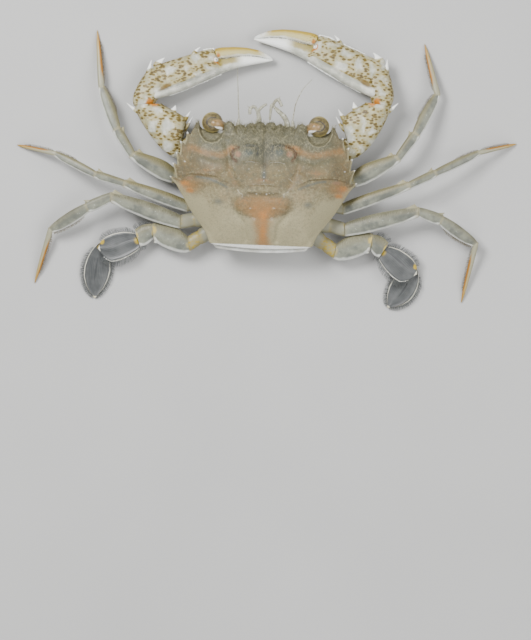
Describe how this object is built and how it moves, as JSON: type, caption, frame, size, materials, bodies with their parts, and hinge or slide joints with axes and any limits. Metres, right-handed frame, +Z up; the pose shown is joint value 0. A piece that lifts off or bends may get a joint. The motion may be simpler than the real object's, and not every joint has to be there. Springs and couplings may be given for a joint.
{
  "type": "swimming crab",
  "caption": "Swimming crab resting on its belly, claws curved in ahead of a toothed oval shell, walking legs spread and flat paddles behind.",
  "frame": {"origin": "on the floor, on the middle line, in the middle of the wide plate of the folded belly flap", "axes": "+X to the crab's right seen from above, +Y forwards to the front of the shell, +Z up"},
  "size_m": [0.1246, 0.0684, 0.0164],
  "materials": {
    "shell": "satin, tan and olive grey with orange marks",
    "belly": "satin, whitish",
    "leg": "satin, grey white with yellowish edges",
    "leg_tip": "satin, golden brown",
    "claw": "satin, whitish with brown dashes",
    "paddle": "satin, pale blue grey with white rims",
    "eye": "glossy, golden tan",
    "feeler": "satin, cream"
  },
  "bodies": {
    "root": {"carapace": "shell", "thorax": "belly", "telson": "belly", "somite_6": "belly", "somite_5": "belly", "somite_4": "belly", "somites_1_3": "belly", "eye_left": "eye", "eyestalk_left": "feeler", "antenna_left": "feeler", "antennule_left": "feeler", "maxilliped_left": "belly", "claw_ischium_left": "claw", "claw_merus_left": "claw", "claw_carpus_left": "claw", "claw_palm_left": "claw", "claw_dactyl_left": "claw", "leg_1_merus_left": "leg", "leg_1_carpus_left": "leg", "leg_1_propodus_left": "leg", "leg_1_dactyl_left": "leg_tip", "leg_2_merus_left": "leg", "leg_2_carpus_left": "leg", "leg_2_propodus_left": "leg", "leg_2_dactyl_left": "leg_tip", "leg_3_merus_left": "leg", "leg_3_carpus_left": "leg", "leg_3_propodus_left": "leg", "leg_3_dactyl_left": "leg_tip", "swimming_leg_merus_left": "leg", "swimming_leg_carpus_left": "leg", "swimming_leg_propodus_left": "paddle", "swimming_leg_dactyl_left": "paddle", "eye_right": "eye", "eyestalk_right": "feeler", "antenna_right": "feeler", "antennule_right": "feeler", "maxilliped_right": "belly", "claw_ischium_right": "claw", "claw_merus_right": "claw", "claw_carpus_right": "claw", "claw_palm_right": "claw", "claw_dactyl_right": "claw", "leg_1_merus_right": "leg", "leg_1_carpus_right": "leg", "leg_1_propodus_right": "leg", "leg_1_dactyl_right": "leg_tip", "leg_2_merus_right": "leg", "leg_2_carpus_right": "leg", "leg_2_propodus_right": "leg", "leg_2_dactyl_right": "leg_tip", "leg_3_merus_right": "leg", "leg_3_carpus_right": "leg", "leg_3_propodus_right": "leg", "leg_3_dactyl_right": "leg_tip", "swimming_leg_merus_right": "leg", "swimming_leg_carpus_right": "leg", "swimming_leg_propodus_right": "paddle", "swimming_leg_dactyl_right": "paddle"}
  },
  "joints": []
}
